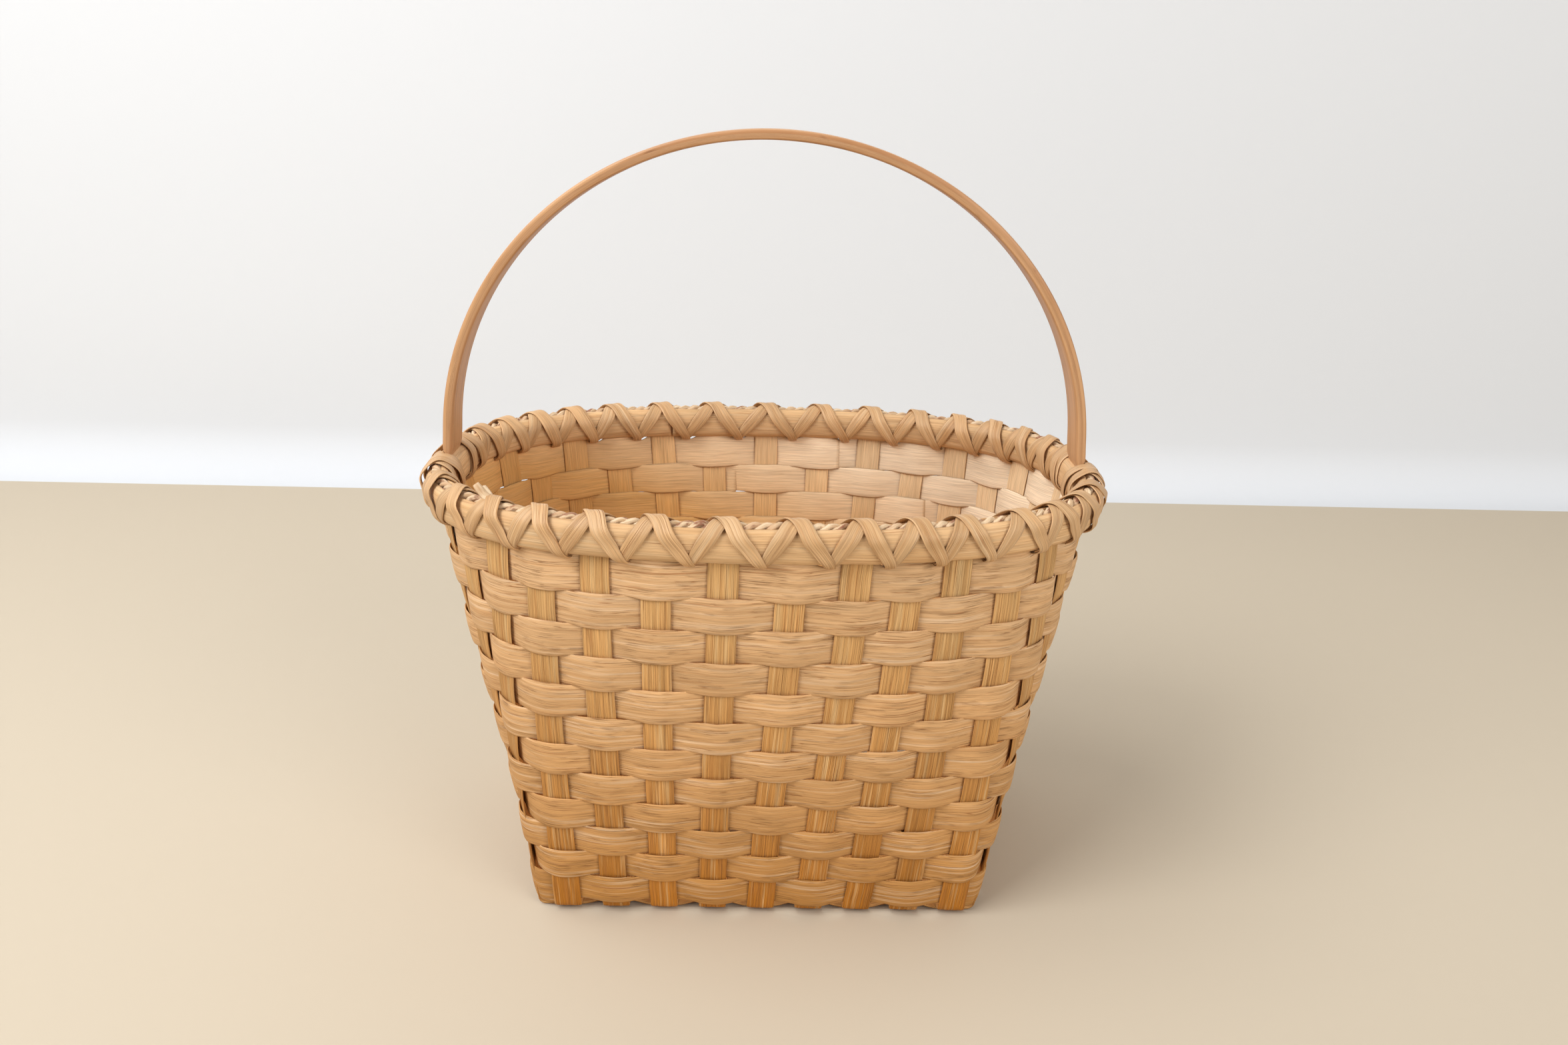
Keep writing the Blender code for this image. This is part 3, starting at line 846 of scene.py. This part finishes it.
def stake(name, first, second, first_level, second_level, flat, seed):
    """A stake down one wall, along the flat points of the base and up the other wall."""
    down, down_side, down_out = down_to_base(first, first_level, seed)
    up, up_side, up_out = (values[::-1] for values in down_to_base(second, second_level, seed))
    line = np.concatenate((down, flat, up))
    side = np.concatenate((down_side, np.broadcast_to(down_side[-1], flat.shape), -up_side))
    out = np.concatenate((down_out, np.broadcast_to(-upright, flat.shape), up_out))
    heading = unit(np.gradient(line, axis=0))
    run = lengths_along(line)
    width = stake_width + wander(seed + 7, run, spacing=0.03, size=0.00012)
    rings, grain = flat_reed(line, square_to(unit(side), heading), square_to(out, heading), width,
                             stake_thickness, seed, stake_points, stake_ridge)
    skin(f"{name}_reed", [rings], [grain], stake_look, [name])


def cross_stake(number):
    """A stake from the front wall straight along the base to the back wall."""
    front = first_front_stand + number
    back = first_left_stand - 1 - number
    inset = np.array((0.0, cross_flat_inset, 0.0))
    part = column(np.linspace(0.0, 1.0, cross_flat_steps + 2)[1:-1])
    flat = (stands.foot[front] + inset) * (1 - part) + (stands.foot[back] - inset) * part
    stake(f"cross_stake_{number + 1}", front, back, base_middle, base_middle, flat, 300 + 11 * number)


cross_x = stands.foot[first_front_stand:, 0]


def long_stake(number):
    """A stake from the left wall over and under the cross stakes to the right wall."""
    left = first_front_stand - 1 - number
    right = number
    signs = np.array([1.0 if (cross + number) % 2 else -1.0 for cross in range(cross_stakes)])
    x = np.linspace(stands.foot[left][0] + long_flat_inset, stands.foot[right][0] - long_flat_inset,
                    long_flat_steps)
    within = np.clip(x, cross_x[0], cross_x[-1])
    near = np.maximum(np.searchsorted(cross_x, within) - 1, 0)
    pitch = cross_x[near + 1] - cross_x[near]
    touch = signs * (base_weave - base_crown)
    level = woven_offset(signs[near], signs[near + 1], (within - cross_x[near]) / pitch, pitch,
                         stake_width / 2 - base_let_go, touch[near], touch[near + 1], base_crown)
    flat = np.stack((x, np.full_like(x, stands.foot[left][1]), base_middle + level), axis=1)
    stake(f"long_stake_{number + 1}", left, right, base_middle + signs[0] * base_weave,
          base_middle + signs[-1] * base_weave, flat, 500 + 13 * number)


for number in range(cross_stakes):
    cross_stake(number)

for number in range(long_stakes):
    long_stake(number)


# Rim

def inner_face(position):
    """How far inside the wall's middle the inner rim reed begins, further beside the handle."""
    near = np.zeros_like(position)
    for stand in handle_stands:
        away = (position - stand + stand_count / 2) % stand_count - stand_count / 2
        near = np.maximum(near, bump(away / handle_reach))
    near = np.minimum(1.0, near * handle_hold)
    return rim_face_out + (rim_face_at_handle - rim_face_out) * near


def rim_point(position, below, out):
    """A point of the rim: its place along it, the depth under its top and the distance out."""
    position = np.asarray(position, float)
    centre, along, up, outward, _ = wall(position, rim_height)
    return centre - up * column(below) + outward * column(out), along, up, outward


def rim_reed(name, side, seed, start):
    """A half-round reed round the rim, flat against the wall. side is 1 outside and -1 inside."""
    position = np.linspace(start + rim_end_gap, start + stand_count - rim_end_gap,
                           stand_count * rim_reed_steps)
    centre, _, up, outward, _ = wall(position, rim_height)
    run = lengths_along(centre)
    face = column(np.broadcast_to(rim_face_out if side > 0 else inner_face(position), run.shape))
    share = (1.0 - np.cos(np.linspace(0.0, math.pi, rim_reed_points))) / 2
    bulge = (1.0 - np.abs(2.0 * share - 1.0) ** rim_squareness) ** rim_roundness
    fullness = column(1.0 + wander(seed, run, spacing=0.04, size=0.03))
    below = rim_reed_height * share + column(wander(seed + 1, run, spacing=0.05, size=0.0002))
    if side > 0:
        below = below + outer_reed_below_rim * (1.0 - share)
    flat_side = below[:, rim_reed_points - 2:0:-rim_flat_side_step]
    out = face + rim_reed_thickness * fullness * bulge
    out = np.concatenate((out, np.broadcast_to(face, flat_side.shape)), axis=1)
    below = np.concatenate((below, flat_side), axis=1)
    rings = centre[:, None] - up[:, None] * below[..., None] + outward[:, None] * (side * out)[..., None]
    grain = fibre_places(run, below + rim_fibre_shift * side, seed)
    skin(f"{name}_reed", [rings], [grain], rim_look, [name])


rim_reed("rim_outer", 1, 701, 11.2)
rim_reed("rim_inner", -1, 702, 14.8)


# Seagrass cord: two twisted strands on each side of the handle

def strand(line, up, size, run, seed):
    """Rings and grain of a round strand along a line."""
    heading = unit(np.gradient(line, axis=0))
    side = unit(np.cross(heading, up))
    rise = np.cross(side, heading)
    around = np.linspace(0.0, 2 * math.pi, strand_sides + 1)[:-1]
    ring = side[:, None] * column(np.cos(around)) + rise[:, None] * column(np.sin(around))
    return line[:, None] + ring * size[..., None], fibre_places(run, around * cord_strand_radius, seed)


def twisted(name, start, end, seed):
    """A length of cord from one of the handle's stands to the other."""
    first = start + cord_from_handle
    last = end - cord_from_handle
    position = np.linspace(first, last, int((last - first) * cord_steps))
    centre, _, up, outward = rim_point(position, np.full(len(position), cord_below_rim), 0.0 * position)
    run = lengths_along(centre)
    turn = run / cord_twist_pitch * 2 * math.pi + wander(seed, run, spacing=0.03, size=0.5)
    tubes, grains = [], []
    for ply in range(2):
        angle = turn + math.pi * ply
        middle = centre + (outward * column(np.cos(angle)) + up * column(np.sin(angle))) * cord_twist_radius
        rough = 1.0 + np.random.default_rng(seed + ply).normal(0.0, cord_roughness, (len(run), strand_sides))
        size = cord_strand_radius * column(1.0 + wander(seed + ply, run, spacing=0.006, size=0.10)) * rough
        tube, grain = strand(middle, up, size, run, seed + ply)
        tubes.append(tube)
        grains.append(grain)
    skin(f"{name}_cord", tubes, grains, seagrass_look, [name])


twisted("seagrass_back", handle_stands[0], handle_stands[1], 801)
twisted("seagrass_front", handle_stands[1], handle_stands[0] + stand_count, 811)


def loose_ends(seed):
    """The two strands of the front cord stand up past its last wrap."""
    root = rim_point([loose_ends_place], np.array([-loose_ends_above_rim]), np.array([0.0]))
    start, along, up, outward = (line[0] for line in root)
    tubes, grains = [], []
    for number, (length, rise, spread) in enumerate(loose_end_sizes):
        share = np.linspace(0.0, 1.0, loose_end_steps)
        part = column(share)
        line = start - along * length * part + up * rise * part ** 1.5 + outward * spread * part
        uneven = 1.0 + wander(seed + number, share * 0.01, spacing=0.002, size=0.06)
        size = cord_strand_radius * (loose_end_fullness - loose_end_taper * part ** 4) * column(uneven)
        tube, grain = strand(line, up, size, share * length, seed + number)
        tubes.append(tube)
        grains.append(grain)
    skin("seagrass_ends", tubes, grains, seagrass_look, [])


loose_ends(31)


# Lashing

def beside_handle(index, heading):
    """Where a strand passes the handle's leg on top of the rim."""
    spacing = np.linalg.norm(stands.top[(index + heading) % stand_count] - stands.top[index % stand_count])
    return index + heading * (handle_width / 2 + lash_from_handle + lash_width / 2) / spacing


def lash_climb(bottom, top, faces, lift, loose, stand_off):
    """Places of a strand up one side of a rim reed: round the rim, below its top and out.

    Each row of the climb gives the share of the way to the top, the depth and the distance out.
    """
    low_face, middle_face, high_face = faces
    bulge = rim_reed_thickness
    climb = (
        (0.0, rim_reed_height + lift + lash_hook, low_face + lash_hook),
        (0.07, rim_reed_height - 0.0016, low_face + bulge * 0.80 + lift),
        (0.35, rim_reed_height * 0.52, middle_face + bulge + stand_off + loose),
        (0.62, 0.0028, high_face + bulge * 0.86 + lift + loose),
        (0.82, -lash_hook - lift, high_face + bulge * 0.24),
    )
    return [(bottom * (1.0 - share) + top * share, below, out) for share, below, out in climb]


def lash_places(heading, layer, seed):
    """Places of a strand that goes once round the rim at each stake, up outside and down inside."""
    rng = np.random.default_rng(seed)
    lift = lash_thickness / 2 + lash_gap + layer * (lash_thickness + lash_gap)
    loose = lash_slack * (1 + layer)
    places = []
    for turn in range(stand_count):
        index = heading * turn
        jog = rng.normal(0.0, lash_jog, 3)
        at_handle = index % stand_count in handle_stands
        top = beside_handle(index, heading) if at_handle else index + jog[0]
        start = index - heading * 0.5 + jog[1]
        end = index + heading * 0.5
        top_face, end_face = inner_face(np.array([top, end]))
        outer_faces = (rim_face_out, rim_face_out, rim_face_out)
        inner_faces = (end_face, (top_face + end_face) / 2, top_face)
        places += lash_climb(start, top, outer_faces, lift, loose, lash_thickness / 2)
        places.append((top, -lash_over_rim - lift, 0.0))
        down = lash_climb(end, top, inner_faces, lift, loose, lift)
        places += [(place, below, -out) for place, below, out in reversed(down)]
    return np.array(places)


def lash_strand(name, heading, layer, seed):
    """A strand wound round the rim, heading one way round, in the lower or the upper layer."""
    position, below, out = curve_through(lash_places(heading, layer, seed), lash_steps).T
    line, _, up, outward = rim_point(position, below, out)
    line = smooth_path(line, rounds=2)
    hub = rim_point(position, np.full(len(position), rim_reed_height / 2), 0.0 * position)[0]
    course = unit(np.gradient(line, axis=0))
    normal = unit(outward * column(np.gradient(below)) + up * column(np.gradient(out)))
    normal = normal * np.sign(((line - hub) * normal).sum(1, keepdims=True))
    normal = square_to(smooth_path(square_to(normal, course), rounds=3), course)
    run = lengths_along(line)
    pinch = 1.0 - lash_pinch * ease((below / rim_reed_height - lash_pinch_from) / lash_pinch_fade)
    width = (lash_width + wander(seed, run, spacing=0.02, size=0.0002)) * pinch
    rings, grain = flat_reed(line, np.cross(normal, course), normal, width, lash_thickness, seed,
                             lash_points, lash_ridge, lash_bow)
    skin(f"{name}_reed", [rings], [grain], lash_look, [name])


lash_strand("lashing_right", 1, 0, 901)
lash_strand("lashing_left", -1, 1, 902)


# Handle

def handle_line():
    """From the tail at the right end over the arch to the tail at the left end."""
    arch_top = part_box("handle")[1].z - handle_thickness / 2
    spring = rim_height + spring_above_rim
    right = handle_stands[0]
    tail_in = (stake_thickness + tail_thickness) / 2 + clearance
    half_length = stands.top[right][0] - tail_in - leg_set_in
    angle = np.linspace(0.0, math.pi, arch_steps)
    arch_height = spring + (arch_top - spring) * np.sin(angle)
    arch = np.stack((half_length * np.cos(angle), 0.0 * angle, arch_height), axis=1)
    height = np.linspace(tail_bottom, rim_height + tail_above_rim, tail_steps)
    centre, side, up = stands.frame(np.full(tail_steps, right), height)
    tail = centre - unit(np.cross(side, up)) * tail_in
    tail[:, 1] = 0.0
    mirrored = tail[::-1] * (-1.0, 1.0, 1.0)
    return smooth_path(np.concatenate((tail, arch, mirrored)), rounds=6)


def handle():
    """The bent strip: full width above the rim, with thin narrow tails inside the wall."""
    line = handle_line()
    run = lengths_along(line)
    middle = run[-1] / 2
    above_rim = middle - np.abs(run - middle) - (rim_height - tail_bottom)
    share = ease((above_rim + widening_depth) / widening_length)
    width = tail_width + (handle_width - tail_width + wander(61, run, spacing=0.06, size=0.0002)) * share
    taper = handle_taper * (2 * np.abs(run / middle - 1.0) - 1)
    thickness = (handle_thickness - tail_thickness) * ease((above_rim + thickening_depth) / thickening_length)
    thickness += tail_thickness + (wander(62, run, spacing=0.05, size=0.00010) + taper) * share
    across = np.array((0.0, 1.0, 0.0))
    outward = unit(np.cross(unit(np.gradient(line, axis=0)), across))
    around = np.linspace(0.0, 2 * math.pi, handle_sides + 1)[:-1] + handle_section_turn
    flat = np.sign(np.cos(around)) * np.abs(np.cos(around)) ** handle_flat_roundness
    deep = np.sign(np.sin(around)) * np.abs(np.sin(around)) ** handle_edge_roundness
    half = column(width) / 2 * flat
    rise = column(thickness) / 2 * deep
    rings = line[:, None] + across * half[..., None] + outward[:, None] * rise[..., None]
    grain = fibre_places(run, half + handle_fibre_shift * (deep < 0), seed=5)
    skin("handle_wood", [rings], [grain], handle_look, ["handle"])


handle()


# Floor, backdrop, light and camera

def plain(name, colour):
    material = bpy.data.materials.new(name)
    material.use_nodes = True
    shader = material.node_tree.nodes["Principled BSDF"]
    shader.inputs["Base Color"].default_value = (*colour, 1.0)
    shader.inputs["Roughness"].default_value = 0.9
    shader.inputs["Specular IOR Level"].default_value = 0.1
    return material


def sweep(name, profile, half_width, material):
    """A sheet along X through a profile of (y, z) points."""
    mesh = bpy.data.meshes.new(name)
    points = [(x, y, z) for y, z in profile for x in (-half_width, half_width)]
    faces = [(2 * k, 2 * k + 1, 2 * k + 3, 2 * k + 2) for k in range(len(profile) - 1)]
    mesh.from_pydata(points, [], faces)
    mesh.shade_smooth()
    mesh.materials.append(material)
    sheet = bpy.data.objects.new(name, mesh)
    bpy.context.scene.collection.objects.link(sheet)


floor_front = -3.0
wall_distance = 0.62
wall_top = 2.6
room_half_width = 4.0
cove_radius = 0.05
cove_points = 9
cove_start = wall_distance - cove_radius
cove = [
    (cove_start + cove_radius * math.sin(angle), cove_radius - cove_radius * math.cos(angle))
    for angle in np.linspace(0.0, math.pi / 2, cove_points)
]
floor_look = plain("floor_pale", (0.57, 0.49, 0.38))
backdrop_look = plain("backdrop_white", (0.71, 0.725, 0.75))
sweep("floor", [(floor_front, 0.0), (cove_start, 0.0)], room_half_width, floor_look)
sweep("backdrop", cove + [(wall_distance, wall_top)], room_half_width, backdrop_look)


def lamp(name, place, target, size, power, colour):
    """A round area lamp at a place, turned to its target."""
    data = bpy.data.lights.new(name, "AREA")
    data.shape = "DISK"
    data.size = size
    data.energy = power
    data.color = colour
    light = bpy.data.objects.new(name, data)
    bpy.context.scene.collection.objects.link(light)
    back = unit(np.array(place) - np.array(target))
    right = unit(np.cross(upright, back))
    axes = np.stack((right, np.cross(back, right), back), axis=1)
    light.matrix_world = Matrix([(*row, where) for row, where in zip(axes, place)] + [(0, 0, 0, 1)])


lamp("window_left", (-1.25, -0.95, 1.5), (0.0, 0.0, 0.15), 1.2, 29.0, (0.98, 0.99, 1.0))
lamp("skylight", (-0.75, -0.15, 1.6), (0.0, 0.0, 0.15), 0.9, 9.0, (0.98, 0.99, 1.0))
lamp("fill_right", (1.3, -1.4, 0.9), (0.0, 0.0, 0.12), 1.3, 16.5, (1.0, 0.985, 0.96))

world = bpy.data.worlds.new("studio")
world.use_nodes = True
background = world.node_tree.nodes["Background"]
background.inputs["Color"].default_value = (1.0, 0.99, 0.97, 1.0)
background.inputs["Strength"].default_value = 0.45
bpy.context.scene.world = world
bpy.context.scene.view_settings.view_transform = "Standard"

# The camera stands where the photograph was taken from
image_width = 2352
focal_pixels = 1740.0
sensor_width = 36.0
camera_place = (-0.0003, -0.5341, 0.3616)
camera_pitch = math.radians(19.43)
camera_turn = math.radians(-1.06)
camera_roll = math.radians(1.45)

camera_data = bpy.data.cameras.new("camera")
camera_data.sensor_width = sensor_width
camera_data.lens = focal_pixels * sensor_width / image_width
camera_data.clip_start = 0.02
camera_data.clip_end = 20.0
camera = bpy.data.objects.new("camera", camera_data)
bpy.context.scene.collection.objects.link(camera)
camera.matrix_world = (
    Matrix.Translation(camera_place)
    @ Matrix.Rotation(camera_turn, 4, "Z")
    @ Matrix.Rotation(math.pi / 2 - camera_pitch, 4, "X")
    @ Matrix.Rotation(camera_roll, 4, "Z")
)
bpy.context.scene.camera = camera
